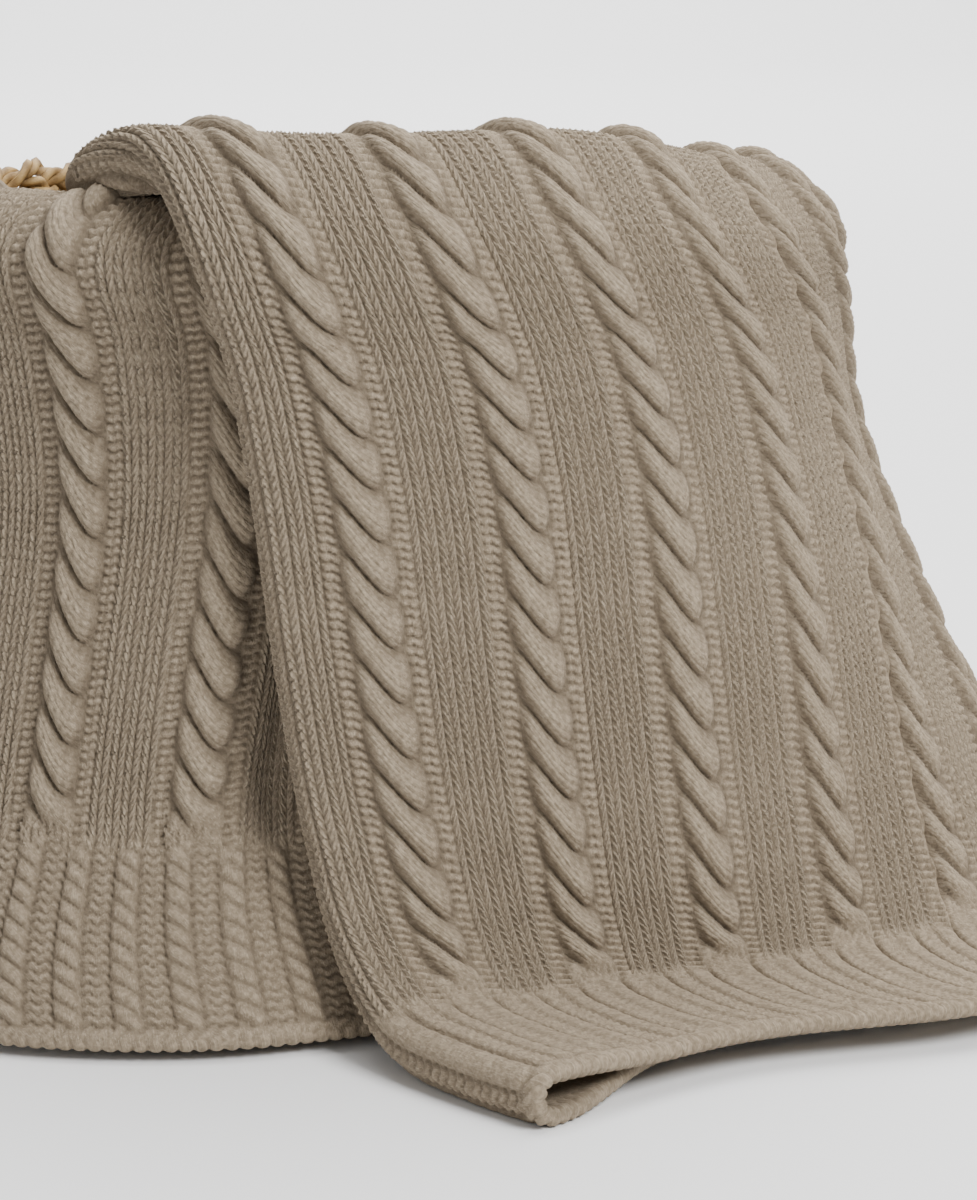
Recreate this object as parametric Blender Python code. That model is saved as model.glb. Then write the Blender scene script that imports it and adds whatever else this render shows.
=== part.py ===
"""A cable-knit wool blanket, folded in half lengthwise and draped over the front of a round basket.

Metres, +Z up. The origin is the middle of the basket's underside, the basket stands on Z = 0, and
its front faces -Y. The blanket is one piece of knitting: one end hangs outside the front of the
basket on the left, the cloth dips into the basket, and the other end comes back over the rim on
top of the first and runs out on the floor to the front right.
"""

import math

import bmesh
import bpy
import numpy as np

# Basket
BASKET_HEIGHT = 0.336
BASKET_TOP_R = 0.228
BASKET_FOOT_R = 0.206
BASKET_WALL = 0.012
BASE_THICKNESS = 0.010
RIM_R = 0.218
RIM_WIRE_R = 0.0117
RIM_PLAITS = 40
RIM_SWELL = 0.0009
WALL_RIDGES = 8
RIDGE_DEPTH = 0.0015
BASKET_SIDES = 60
SEAT_GAP = 0.0003

# Knitting: one repeat is a stocking-stitch panel, a purl gutter, a cable and a purl gutter
REPEAT = 0.064
PANEL = 0.028
GUTTER = 0.008
CABLE = 0.020
FIRST_PANEL = -0.002
UPPER_WIDTH = 0.474
UNDER_WIDTH = 0.450
HEM = 0.085
FIRST_CROSSING = 0.1185
CROSSING_PITCH = 0.0244
HALF_CLOTH = 0.0025
CABLE_RISE = 0.0034
CABLE_TWIST = 0.0013
GUTTER_DROP = 0.0010
RIB_RISE = 0.0012
LAYER_REST = 0.0045
FOLD_R = 0.009
FOLD_FADE = 0.070

# Places across the doubled cloth, from its fold, where the sections give a radius
COLUMNS = (0.0, 0.11, 0.24, 0.33, 0.474)

# Each section crosses the doubled cloth at one place along it, from the left hem. Its fold stands
# at an angle round the basket from the front, and the cloth goes round from there, to the right,
# at the radii named. Spread is how far the knitting is drawn out sideways at the fold and far side.
SECTION = (
    "place", "height", "far_height", "fold_angle",
    "fold_r", "near_r", "side_r", "shoulder_r", "far_r", "fold_spread", "far_spread",
)
LENGTH = 1.485
SECTIONS = (
    # left end, hanging outside the basket
    (0.000, 0.0055, 0.0055, -68.0, 0.315, 0.325, 0.328, 0.312, 0.262, 1.00, 1.10),
    (0.045, 0.0470, 0.0470, -74.0, 0.298, 0.304, 0.305, 0.286, 0.250, 1.00, 1.03),
    (0.090, 0.0900, 0.0900, -79.0, 0.280, 0.285, 0.284, 0.265, 0.244, 1.00, 0.98),
    (0.160, 0.1580, 0.1580, -83.0, 0.262, 0.264, 0.263, 0.252, 0.241, 1.00, 0.98),
    (0.240, 0.2380, 0.2380, -86.0, 0.252, 0.251, 0.249, 0.245, 0.242, 1.00, 1.04),
    (0.305, 0.3020, 0.3020, -91.0, 0.248, 0.244, 0.2435, 0.2435, 0.2435, 1.00, 1.18),
    (0.340, 0.3340, 0.3340, -93.5, 0.245, 0.2415, 0.2405, 0.2405, 0.2405, 1.00, 1.20),
    # over the rim and down inside, next to the wall
    (0.370, 0.3510, 0.3510, -98.0, 0.217, 0.217, 0.217, 0.217, 0.217, 1.00, 1.15),
    (0.398, 0.3375, 0.3375, -101.0, 0.194, 0.195, 0.1955, 0.1955, 0.1955, 0.98, 1.06),
    (0.430, 0.3060, 0.3060, -99.0, 0.188, 0.190, 0.191, 0.191, 0.191, 0.95, 1.00),
    (0.500, 0.2370, 0.2370, -88.0, 0.184, 0.186, 0.188, 0.188, 0.188, 0.90, 0.90),
    (0.570, 0.1680, 0.1680, -77.0, 0.180, 0.182, 0.184, 0.184, 0.184, 0.85, 0.85),
    (0.625, 0.1160, 0.1160, -69.0, 0.176, 0.178, 0.180, 0.180, 0.180, 0.80, 0.80),
    # the turn at the bottom of the dip
    (0.657, 0.0900, 0.0900, -65.0, 0.165, 0.166, 0.168, 0.168, 0.168, 0.76, 0.76),
    (0.688, 0.0900, 0.0900, -62.0, 0.141, 0.142, 0.143, 0.143, 0.143, 0.74, 0.74),
    (0.722, 0.1180, 0.1180, -58.0, 0.128, 0.129, 0.130, 0.130, 0.130, 0.74, 0.74),
    # up inside, in front of the first run
    (0.790, 0.1850, 0.1850, -49.0, 0.129, 0.130, 0.132, 0.133, 0.133, 0.76, 0.76),
    (0.860, 0.2540, 0.2540, -40.0, 0.137, 0.139, 0.142, 0.144, 0.144, 0.80, 0.80),
    (0.935, 0.3260, 0.3010, -32.0, 0.157, 0.159, 0.164, 0.168, 0.168, 0.88, 0.88),
    (0.973, 0.3645, 0.3370, -25.0, 0.186, 0.187, 0.189, 0.190, 0.190, 0.94, 0.94),
    # right end: over the rim on top of the left end, down outside and out on the floor
    (1.011, 0.3785, 0.3525, -16.0, 0.226, 0.226, 0.220, 0.218, 0.216, 0.98, 0.96),
    (1.050, 0.3430, 0.3290, -9.0, 0.2660, 0.2650, 0.2560, 0.2500, 0.2480, 1.00, 1.00),
    (1.090, 0.3020, 0.2970, -5.8, 0.2700, 0.2690, 0.2620, 0.2560, 0.2530, 1.04, 1.08),
    (1.145, 0.2480, 0.2470, -3.6, 0.2710, 0.2700, 0.2700, 0.2640, 0.2580, 1.07, 1.12),
    (1.225, 0.1690, 0.1690, -1.5, 0.2730, 0.2740, 0.2900, 0.2940, 0.2790, 1.07, 1.09),
    (1.305, 0.0900, 0.0920, 1.2, 0.2800, 0.2810, 0.3060, 0.3260, 0.3130, 1.05, 1.05),
    (1.360, 0.0400, 0.0430, 4.0, 0.3020, 0.2930, 0.3240, 0.3520, 0.3420, 1.02, 1.02),
    (1.400, 0.0180, 0.0200, 6.9, 0.3340, 0.3130, 0.3450, 0.3780, 0.3720, 0.98, 0.98),
    (1.440, 0.0140, 0.0140, 10.6, 0.3670, 0.3470, 0.3800, 0.4110, 0.4080, 0.94, 0.94),
    (1.485, 0.0135, 0.0135, 14.6, 0.4030, 0.3780, 0.4180, 0.4440, 0.4400, 0.93, 0.93),
)
LEFT_BEND = (0.33, 0.42)
RIGHT_BENDS = ((0.0, 0.145), (0.41, 0.57))
TURN = (0.62, 0.74)
DROP_STARTS = 0.17
DROP_ENDS = 0.36
SPREAD_TURNS = (0.15, 0.25)
UPPER_SHOWS = 1.00
UNDER_SHOWS = 0.35


def spline_weights(knots, places, slope=False):
    """Rows of weights that read a smooth curve through the knots' values, or its slope, at each place."""
    knots = np.asarray(knots, float)
    places = np.asarray(places, float)
    count = len(knots)
    steps = np.diff(knots)
    rises = (np.eye(count)[1:] - np.eye(count)[:-1]) / steps[:, None]
    tangents = np.empty((count, count))
    before, after = steps[:-1, None], steps[1:, None]
    tangents[1:-1] = (rises[:-1] * after + rises[1:] * before) / (before + after)
    tangents[0] = 1.5 * rises[0] - 0.5 * tangents[1]
    tangents[-1] = 1.5 * rises[-1] - 0.5 * tangents[-2]
    at = np.clip(np.searchsorted(knots, places, side="right") - 1, 0, count - 2)
    step = steps[at]
    t = (places - knots[at]) / step
    if slope:
        parts = (6 * t * t - 6 * t, 3 * t * t - 4 * t + 1, 6 * t - 6 * t * t, 3 * t * t - 2 * t)
        scale = (1 / step, np.ones_like(t), 1 / step, np.ones_like(t))
    else:
        parts = (
            2 * t**3 - 3 * t**2 + 1, t**3 - 2 * t**2 + t,
            3 * t**2 - 2 * t**3, t**3 - t**2,
        )
        scale = (np.ones_like(t), step, np.ones_like(t), step)
    eye = np.eye(count)
    values = (eye[at], tangents[at], eye[at + 1], tangents[at + 1])
    return sum((part * by)[:, None] * value for part, by, value in zip(parts, scale, values))


def ease(x):
    """A soft step from 0 to 1."""
    x = np.clip(x, 0.0, 1.0)
    return x * x * (3 - 2 * x)


def doubled_cloth():
    """Knots across and along the doubled cloth, and the grid of its middle at those knots."""
    rows = np.asarray(SECTIONS, float)
    across = np.linspace(0.0, COLUMNS[-1], 121)
    along = np.linspace(0.0, LENGTH, 199)
    read = spline_weights(rows[:, 0], along) @ rows[:, 1:]
    height, far_height, angle = read[:, 0], read[:, 1], np.radians(read[:, 2])
    radius = spline_weights(COLUMNS, across) @ read[:, 3:8].T
    far = ease((across - SPREAD_TURNS[0]) / (SPREAD_TURNS[1] - SPREAD_TURNS[0]))[:, None]
    spread = read[:, 8] + (read[:, 9] - read[:, 8]) * far
    lean = np.gradient(radius, across, axis=0)
    rate = np.sqrt(np.clip(1 - lean**2, 0.2, 1.0)) * spread / radius
    turned = np.zeros_like(rate)
    turned[1:] = np.cumsum((rate[1:] + rate[:-1]) / 2, axis=0) * (across[1] - across[0])
    theta = angle + turned
    drop = ease((across - DROP_STARTS) / (DROP_ENDS - DROP_STARTS))[:, None]
    z = height + (far_height - height) * drop
    return across, along, np.stack([radius * np.sin(theta), -radius * np.cos(theta), z], axis=-1)


def layer_place(width):
    """Across the doubled cloth and out from its middle, for places across the single cloth (fold at 0)."""
    quarter = FOLD_R * math.pi / 2
    reach = np.abs(width)
    bend = np.clip(reach / FOLD_R, 0, math.pi / 2)
    across = np.where(reach < quarter, FOLD_R * (1 - np.cos(bend)), FOLD_R + reach - quarter)
    settled = LAYER_REST + (FOLD_R - LAYER_REST) * (1 - ease((across - FOLD_R) / FOLD_FADE))
    half = np.where(reach < quarter, FOLD_R * np.sin(bend), settled)
    return across, np.sign(width) * half


def cloth_grid(width, along):
    """Grid of the single cloth's middle and its outward direction."""
    knots_across, knots_along, middle = doubled_cloth()
    across, out = layer_place(width)
    read_u, slope_u = spline_weights(knots_across, across), spline_weights(knots_across, across, True)
    read_v, slope_v = spline_weights(knots_along, along), spline_weights(knots_along, along, True)
    point = np.einsum("ia,abk,jb->ijk", read_u, middle, read_v)
    du = np.einsum("ia,abk,jb->ijk", slope_u, middle, read_v)
    dv = np.einsum("ia,abk,jb->ijk", read_u, middle, slope_v)
    normal = np.cross(du, dv)
    normal /= -np.linalg.norm(normal, axis=-1, keepdims=True)
    point = point + normal * out[:, None, None]
    gu = np.gradient(point, width, axis=0)
    gv = np.gradient(point, along, axis=1)
    outward = np.cross(gv, gu)
    outward /= np.linalg.norm(outward, axis=-1, keepdims=True)
    return point, outward


def relief(width, along):
    """How far the outer face stands out from the plain cloth: cables, gutters and hem ribs."""
    place = np.mod(width - FIRST_PANEL, REPEAT)[:, None]
    middle = PANEL + GUTTER + CABLE / 2
    off = (place - middle) / (CABLE / 2)
    on_cable = np.clip(1 - np.abs(off) ** 3, 0, 1) * (np.abs(off) < 1)
    in_gutter = (np.abs(off) >= 1) & (np.abs(place - middle) < CABLE / 2 + GUTTER)
    from_hem = np.minimum(along, LENGTH - along)[None, :]
    phase = (from_hem - FIRST_CROSSING) / CROSSING_PITCH * 2 * math.pi
    shown = np.where(width[:, None] > 0, along[None, :] > UPPER_SHOWS, along[None, :] < UNDER_SHOWS)
    twist = CABLE_TWIST * np.sign(off) * np.cos(phase) * shown
    body = on_cable * (CABLE_RISE + twist) - GUTTER_DROP * in_gutter
    rib = RIB_RISE * np.sin((place - PANEL - GUTTER / 4) / REPEAT * 6 * math.pi + math.pi)
    return np.where(from_hem < HEM + 0.004, rib, body)


def width_lines():
    """Places across the outer face, closest on the cables that show: the under half and the rest."""
    close, wide = (0.012, 0.032, 0.041, 0.051, 0.060), (0.032, 0.046, 0.060)
    fold = [-0.013, -0.006, 0.0, 0.006, 0.012]
    upper = [FIRST_PANEL + REPEAT * k + mark for k in range(8) for mark in (close if k < 5 else wide)]
    upper = fold + [w for w in upper if 0.018 < w < UPPER_WIDTH - 0.004] + [UPPER_WIDTH]
    under = [FIRST_PANEL - REPEAT * k + mark for k in range(1, 8) for mark in (close if k in (5, 6) else wide)]
    under = [-UNDER_WIDTH] + sorted(w for w in under if -UNDER_WIDTH + 0.004 < w < -0.018)
    return np.array(under), np.array(upper)


def length_lines(left_shows):
    """Places along the outer face: two to a cable crossing on the end that shows, fewer on the other."""
    half = CROSSING_PITCH / 2
    hem = [0.0, 0.006, 0.045, 0.066, HEM]
    left_few = [0.0, 0.045, HEM, 0.12, 0.16, 0.20, 0.24, 0.28]
    right_few = [0.0, 0.045, 0.066, HEM, 0.104, 0.122, 0.14, 0.175, 0.21, 0.245, 0.285, 0.33, 0.375]
    left = hem + list(np.arange(FIRST_CROSSING - half, LEFT_BEND[0] - half, half)) if left_shows else left_few
    right = right_few if left_shows else hem + list(np.arange(FIRST_CROSSING - half, RIGHT_BENDS[1][0] - half, half))
    over, back = np.linspace(*LEFT_BEND, 7), LENGTH - np.linspace(*RIGHT_BENDS[1], 10)[::-1]
    down, up = np.linspace(LEFT_BEND[1], TURN[0], 5)[1:-1], np.linspace(TURN[1], back[0], 6)[1:-1]
    right = LENGTH - np.array(right[::-1])
    return np.concatenate([left, over, down, np.linspace(*TURN, 7), up, back, right])


def bridge(first, last, first_at, last_at):
    """Triangles between two rows of point numbers, walked by the places they stand at."""
    faces = []
    i = j = 0
    while i < len(first) - 1 or j < len(last) - 1:
        step_first = j == len(last) - 1 or (i < len(first) - 1 and first_at[i + 1] <= last_at[j + 1])
        if step_first:
            faces.append((first[i], first[i + 1], last[j]))
            i += 1
        else:
            faces.append((first[i], last[j + 1], last[j]))
            j += 1
    return faces


def make_blanket():
    """One closed solid: the knitted outer face, the plain inner face and the edges between them."""
    under, upper = width_lines()
    along_under, along_upper = length_lines(True), length_lines(False)
    points, numbers, count = [], [], 0
    for width, along in ((under, along_under), (upper, along_upper)):
        point, outward = cloth_grid(width, along)
        points.append((point + outward * (HALF_CLOTH + relief(width, along))[..., None]).reshape(-1, 3))
        numbers.append(count + np.arange(len(width) * len(along)).reshape(len(width), len(along)))
        count += len(width) * len(along)
    away = [FIRST_PANEL + REPEAT * k + mark for k in range(7) for mark in (0.032, 0.064)][:-1]
    inner_w = np.array([-UNDER_WIDTH] + [-w for w in reversed(away)] + [w for w in upper if w < 0.015] + away + [UPPER_WIDTH])
    inner_s = np.array(sorted(set(along_upper[::2]) | {s for s in along_upper if bend_at(s)} | {LENGTH}))
    point, outward = cloth_grid(inner_w, inner_s)
    points.append((point - outward * HALF_CLOTH).reshape(-1, 3))
    number_in = count + np.arange(len(inner_w) * len(inner_s)).reshape(len(inner_w), len(inner_s))
    low, high = numbers
    faces = grid_faces(low) + bridge(low[-1], high[0], along_under, along_upper) + grid_faces(high)
    faces += flipped(grid_faces(number_in))
    faces += flipped(bridge(low[0], number_in[0], along_under, inner_s))
    faces += bridge(high[-1], number_in[-1], along_upper, inner_s)
    outer_w = np.concatenate([under, upper])
    for edge in (0, -1):
        end = bridge(np.concatenate([low[:, edge], high[:, edge]]), number_in[:, edge], outer_w, inner_w)
        faces += end if edge == 0 else flipped(end)
    return solid_object("blanket", np.concatenate(points), faces, "oatmeal_wool", (0.34, 0.27, 0.20), 0.95)


def flipped(faces):
    """The same faces turned over."""
    return [tuple(reversed(face)) for face in faces]


def bend_at(place):
    """True where the cloth bends or has few lines, so its inner face needs each line."""
    reach = LENGTH - place
    bent = [low <= reach <= high for low, high in RIGHT_BENDS]
    bent += [low <= place <= high for low, high in ((0, LEFT_BEND[1]), TURN)]
    return any(bent)


def grid_faces(number):
    """Quads of a grid of point numbers."""
    return [
        (number[i, j], number[i, j + 1], number[i + 1, j + 1], number[i + 1, j])
        for i in range(number.shape[0] - 1)
        for j in range(number.shape[1] - 1)
    ]


def material(name, color, roughness):
    """A plain Principled finish."""
    made = bpy.data.materials.new(name)
    made.use_nodes = True
    shader = made.node_tree.nodes["Principled BSDF"]
    shader.inputs["Base Color"].default_value = (*color, 1.0)
    shader.inputs["Roughness"].default_value = roughness
    shader.inputs["Metallic"].default_value = 0.0
    return made


def solid_object(name, points, faces, finish, color, roughness):
    """A smooth-shaded mesh object whose faces point out."""
    mesh = bpy.data.meshes.new(name)
    mesh.from_pydata([tuple(p) for p in np.asarray(points).tolist()], [], [tuple(map(int, f)) for f in faces])
    work = bmesh.new()
    work.from_mesh(mesh)
    bmesh.ops.recalc_face_normals(work, faces=work.faces[:])
    work.to_mesh(mesh)
    work.free()
    mesh.shade_smooth()
    mesh.materials.append(material(finish, color, roughness))
    made = bpy.data.objects.new(name, mesh)
    bpy.context.scene.collection.objects.link(made)
    return made


def turned(profile, sides):
    """Points and quads of a closed profile of (radius, height) turned about Z."""
    angles = np.arange(sides) * 2 * math.pi / sides
    ring = np.array([[r * math.cos(a), r * math.sin(a), z] for a in angles for r, z in profile])
    count = len(profile)
    faces = []
    for i in range(sides):
        for j in range(count):
            a, b = i * count, (i + 1) % sides * count
            faces.append((a + j, b + j, b + (j + 1) % count, a + (j + 1) % count))
    return ring, faces


def make_basket():
    """The woven body: a tapered wall with soft rows of weaving and a base, in one piece."""
    top = BASKET_HEIGHT - 2 * RIM_WIRE_R - SEAT_GAP
    outer = [(BASKET_FOOT_R - 0.004, 0.0), (BASKET_FOOT_R, 0.004)]
    for k in range(1, 2 * WALL_RIDGES):
        share = k / (2 * WALL_RIDGES)
        radius = BASKET_FOOT_R + (BASKET_TOP_R - BASKET_FOOT_R) * share
        outer.append((radius - RIDGE_DEPTH * (k % 2), 0.004 + (top - 0.004) * share))
    outer.append((BASKET_TOP_R, top))
    inner = [
        (BASKET_TOP_R - BASKET_WALL, top),
        (BASKET_FOOT_R - BASKET_WALL, BASE_THICKNESS + 0.006),
        (BASKET_FOOT_R - BASKET_WALL - 0.006, BASE_THICKNESS),
    ]
    profile = outer + inner
    sides, count = BASKET_SIDES, len(profile)
    ring, faces = turned(profile, sides)
    faces = [f for k, f in enumerate(faces) if k % count != count - 1]
    under, over = len(ring), len(ring) + 1
    points = np.concatenate([ring, [[0, 0, 0], [0, 0, BASE_THICKNESS]]])
    for i in range(sides):
        a, b = i * count, (i + 1) % sides * count
        faces.append((under, b, a))
        faces.append((over, a + count - 1, b + count - 1))
    return solid_object("basket_body", points, faces, "woven_seagrass", (0.50, 0.34, 0.16), 0.7)


def make_rim():
    """The plaited rim: a ring whose three strands swell in turn."""
    steps, sides = RIM_PLAITS * 2, 8
    centre_z = BASKET_HEIGHT - RIM_WIRE_R
    points = []
    for i in range(steps):
        turn = i * 2 * math.pi / steps
        swell = RIM_SWELL * (1 if i % 2 else -1)
        for j in range(sides):
            around = j * 2 * math.pi / sides
            wire = RIM_WIRE_R - RIM_SWELL + swell * math.cos(2 * around)
            radius = RIM_R + wire * math.cos(around)
            points.append((radius * math.cos(turn), radius * math.sin(turn), centre_z + wire * math.sin(around)))
    faces = []
    for i in range(steps):
        for j in range(sides):
            a, b = i * sides, (i + 1) % steps * sides
            k = (j + 1) % sides
            faces.append((a + j, b + j, b + k, a + k))
    return solid_object("basket_rim", points, faces, "plaited_seagrass", (0.56, 0.38, 0.18), 0.65)


def main():
    for old in list(bpy.data.objects):
        bpy.data.objects.remove(old)
    make_basket()
    make_rim()
    make_blanket()


main()
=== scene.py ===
"""A cable-knit wool blanket over a round grass basket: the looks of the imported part.

Metres, +Z up, the basket's underside on Z = 0 and its front to -Y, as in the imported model. The
blanket is one piece of knitting, folded in half lengthwise. Places on it are given across the
flat cloth from the fold, and along it from the left hem.
"""

from __future__ import annotations

import logging
import math
from dataclasses import dataclass, field
from enum import Enum
from typing import Sequence

import bpy
import numpy as np
from mathutils import Euler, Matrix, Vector


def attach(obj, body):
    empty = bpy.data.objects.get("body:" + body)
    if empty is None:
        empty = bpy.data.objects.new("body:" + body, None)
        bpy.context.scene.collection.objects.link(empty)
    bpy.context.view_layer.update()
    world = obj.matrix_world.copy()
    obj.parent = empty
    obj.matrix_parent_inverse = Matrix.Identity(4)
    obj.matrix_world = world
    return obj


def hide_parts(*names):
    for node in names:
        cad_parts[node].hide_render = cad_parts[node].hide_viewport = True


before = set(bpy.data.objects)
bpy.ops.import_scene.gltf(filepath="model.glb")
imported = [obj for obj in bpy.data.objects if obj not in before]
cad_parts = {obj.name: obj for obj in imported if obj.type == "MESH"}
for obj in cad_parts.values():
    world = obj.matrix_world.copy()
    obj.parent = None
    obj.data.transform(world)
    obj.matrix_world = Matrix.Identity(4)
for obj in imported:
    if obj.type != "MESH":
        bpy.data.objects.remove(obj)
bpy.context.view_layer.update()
log = logging.getLogger("blanket")

# Knitting: one repeat is a stocking-stitch panel, a purl gutter, a cable and a purl gutter
REPEAT = 0.064
PANEL = 0.028
GUTTER = 0.008
CABLE = 0.020
FIRST_PANEL = -0.002
UPPER_WIDTH = 0.474
UNDER_WIDTH = 0.450
LENGTH = 1.485
HEM = 0.085
FIRST_CROSSING = 0.1185
CROSSING_PITCH = 0.0244
ROW = 0.0044
LEG = 0.0035
LEG_LEAN = 1.90
LEG_SWAY = 0.00015
PAIR_FILL = 0.20
BAR_LEAN = 0.45
STRAND_DROP = 1.06
STRAND_BEND = 1.22
STRAND_START = 0.53
TRACKS = 6
RIBS_PER_REPEAT = 3
HALF_CLOTH = 0.0025
FLOOR_GAP = 0.0004
LAYER_REST = 0.0045
FOLD_R = 0.009
FOLD_FADE = 0.070

COLUMNS = (0.0, 0.11, 0.24, 0.33, 0.474)
SECTIONS = (
    # left end, hanging outside the basket
    (0.000, 0.0055, 0.0055, -68.0, 0.315, 0.325, 0.328, 0.312, 0.262, 1.00, 1.10),
    (0.045, 0.0470, 0.0470, -74.0, 0.298, 0.304, 0.305, 0.286, 0.250, 1.00, 1.03),
    (0.090, 0.0900, 0.0900, -79.0, 0.280, 0.285, 0.284, 0.265, 0.244, 1.00, 0.98),
    (0.160, 0.1580, 0.1580, -83.0, 0.262, 0.264, 0.263, 0.252, 0.241, 1.00, 0.98),
    (0.240, 0.2380, 0.2380, -86.0, 0.252, 0.251, 0.249, 0.245, 0.242, 1.00, 1.04),
    (0.305, 0.3020, 0.3020, -91.0, 0.248, 0.244, 0.2435, 0.2435, 0.2435, 1.00, 1.18),
    (0.340, 0.3340, 0.3340, -93.5, 0.245, 0.2415, 0.2405, 0.2405, 0.2405, 1.00, 1.20),
    # over the rim and down inside, next to the wall
    (0.370, 0.3510, 0.3510, -98.0, 0.217, 0.217, 0.217, 0.217, 0.217, 1.00, 1.15),
    (0.398, 0.3375, 0.3375, -101.0, 0.194, 0.195, 0.1955, 0.1955, 0.1955, 0.98, 1.06),
    (0.430, 0.3060, 0.3060, -99.0, 0.188, 0.190, 0.191, 0.191, 0.191, 0.95, 1.00),
    (0.500, 0.2370, 0.2370, -88.0, 0.184, 0.186, 0.188, 0.188, 0.188, 0.90, 0.90),
    (0.570, 0.1680, 0.1680, -77.0, 0.180, 0.182, 0.184, 0.184, 0.184, 0.85, 0.85),
    (0.625, 0.1160, 0.1160, -69.0, 0.176, 0.178, 0.180, 0.180, 0.180, 0.80, 0.80),
    # the turn at the bottom of the dip
    (0.657, 0.0900, 0.0900, -65.0, 0.165, 0.166, 0.168, 0.168, 0.168, 0.76, 0.76),
    (0.688, 0.0900, 0.0900, -62.0, 0.141, 0.142, 0.143, 0.143, 0.143, 0.74, 0.74),
    (0.722, 0.1180, 0.1180, -58.0, 0.128, 0.129, 0.130, 0.130, 0.130, 0.74, 0.74),
    # up inside, in front of the first run
    (0.790, 0.1850, 0.1850, -49.0, 0.129, 0.130, 0.132, 0.133, 0.133, 0.76, 0.76),
    (0.860, 0.2540, 0.2540, -40.0, 0.137, 0.139, 0.142, 0.144, 0.144, 0.80, 0.80),
    (0.935, 0.3260, 0.3010, -32.0, 0.157, 0.159, 0.164, 0.168, 0.168, 0.88, 0.88),
    (0.973, 0.3645, 0.3370, -25.0, 0.186, 0.187, 0.189, 0.190, 0.190, 0.94, 0.94),
    # right end: over the rim on top of the left end, down outside and out on the floor
    (1.011, 0.3785, 0.3525, -16.0, 0.226, 0.226, 0.220, 0.218, 0.216, 0.98, 0.96),
    (1.050, 0.3430, 0.3290, -9.0, 0.2660, 0.2650, 0.2560, 0.2500, 0.2480, 1.00, 1.00),
    (1.090, 0.3020, 0.2970, -5.8, 0.2700, 0.2690, 0.2620, 0.2560, 0.2530, 1.04, 1.08),
    (1.145, 0.2480, 0.2470, -3.6, 0.2710, 0.2700, 0.2700, 0.2640, 0.2580, 1.07, 1.12),
    (1.225, 0.1690, 0.1690, -1.5, 0.2730, 0.2740, 0.2900, 0.2940, 0.2790, 1.07, 1.09),
    (1.305, 0.0900, 0.0920, 1.2, 0.2800, 0.2810, 0.3060, 0.3260, 0.3130, 1.05, 1.05),
    (1.360, 0.0400, 0.0430, 4.0, 0.3020, 0.2930, 0.3240, 0.3520, 0.3420, 1.02, 1.02),
    (1.400, 0.0180, 0.0200, 6.9, 0.3340, 0.3130, 0.3450, 0.3780, 0.3720, 0.98, 0.98),
    (1.440, 0.0140, 0.0140, 10.6, 0.3670, 0.3470, 0.3800, 0.4110, 0.4080, 0.94, 0.94),
    (1.485, 0.0135, 0.0135, 14.6, 0.4030, 0.3780, 0.4180, 0.4440, 0.4400, 0.93, 0.93),
)
# How far the under half's hem stops short of the upper half's
HEM_SHORT = 0.040
DROP_STARTS = 0.17
DROP_ENDS = 0.36
SPREAD_TURNS = (0.15, 0.25)


def spline_weights(knots: Sequence[float], places: np.ndarray, slope: bool = False) -> np.ndarray:
    """Weights that read a smooth curve through the knots' values.

    Args:
        knots: Places of the knots, rising.
        places: Where the curve is read.
        slope: Read the curve's slope instead.

    Returns:
        One row of weights for each place.
    """
    knots = np.asarray(knots, float)
    places = np.asarray(places, float)
    count = len(knots)
    steps = np.diff(knots)
    rises = (np.eye(count)[1:] - np.eye(count)[:-1]) / steps[:, None]
    tangents = np.empty((count, count))
    before, after = steps[:-1, None], steps[1:, None]
    tangents[1:-1] = (rises[:-1] * after + rises[1:] * before) / (before + after)
    tangents[0] = 1.5 * rises[0] - 0.5 * tangents[1]
    tangents[-1] = 1.5 * rises[-1] - 0.5 * tangents[-2]
    at = np.clip(np.searchsorted(knots, places, side="right") - 1, 0, count - 2)
    step = steps[at]
    t = (places - knots[at]) / step
    if slope:
        parts = (6 * t * t - 6 * t, 3 * t * t - 4 * t + 1, 6 * t - 6 * t * t, 3 * t * t - 2 * t)
        scale = (1 / step, np.ones_like(t), 1 / step, np.ones_like(t))
    else:
        parts = (2 * t**3 - 3 * t**2 + 1, t**3 - 2 * t**2 + t, 3 * t**2 - 2 * t**3, t**3 - t**2)
        scale = (np.ones_like(t), step, np.ones_like(t), step)
    eye = np.eye(count)
    values = (eye[at], tangents[at], eye[at + 1], tangents[at + 1])
    return sum((part * by)[:, None] * value for part, by, value in zip(parts, scale, values))


def ease(x: np.ndarray) -> np.ndarray:
    """A soft step from 0 to 1."""
    x = np.clip(x, 0.0, 1.0)
    return x * x * (3 - 2 * x)


@dataclass(frozen=True)
class Pull:
    """A soft local pull on the draped cloth.

    Args:
        place: Its middle, across and along the doubled cloth.
        reach: How far it is felt, across and along.
        move: The way it moves the cloth.
    """

    place: tuple[float, float]
    reach: tuple[float, float]
    move: tuple[float, float, float]

    def share(self, across: np.ndarray, along: np.ndarray) -> np.ndarray:
        """How much of it is felt at each place."""
        wide = (across[:, None] - self.place[0]) / self.reach[0]
        long_ = (along[None, :] - self.place[1]) / self.reach[1]
        return np.exp(-(wide**2) - long_**2)


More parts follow.
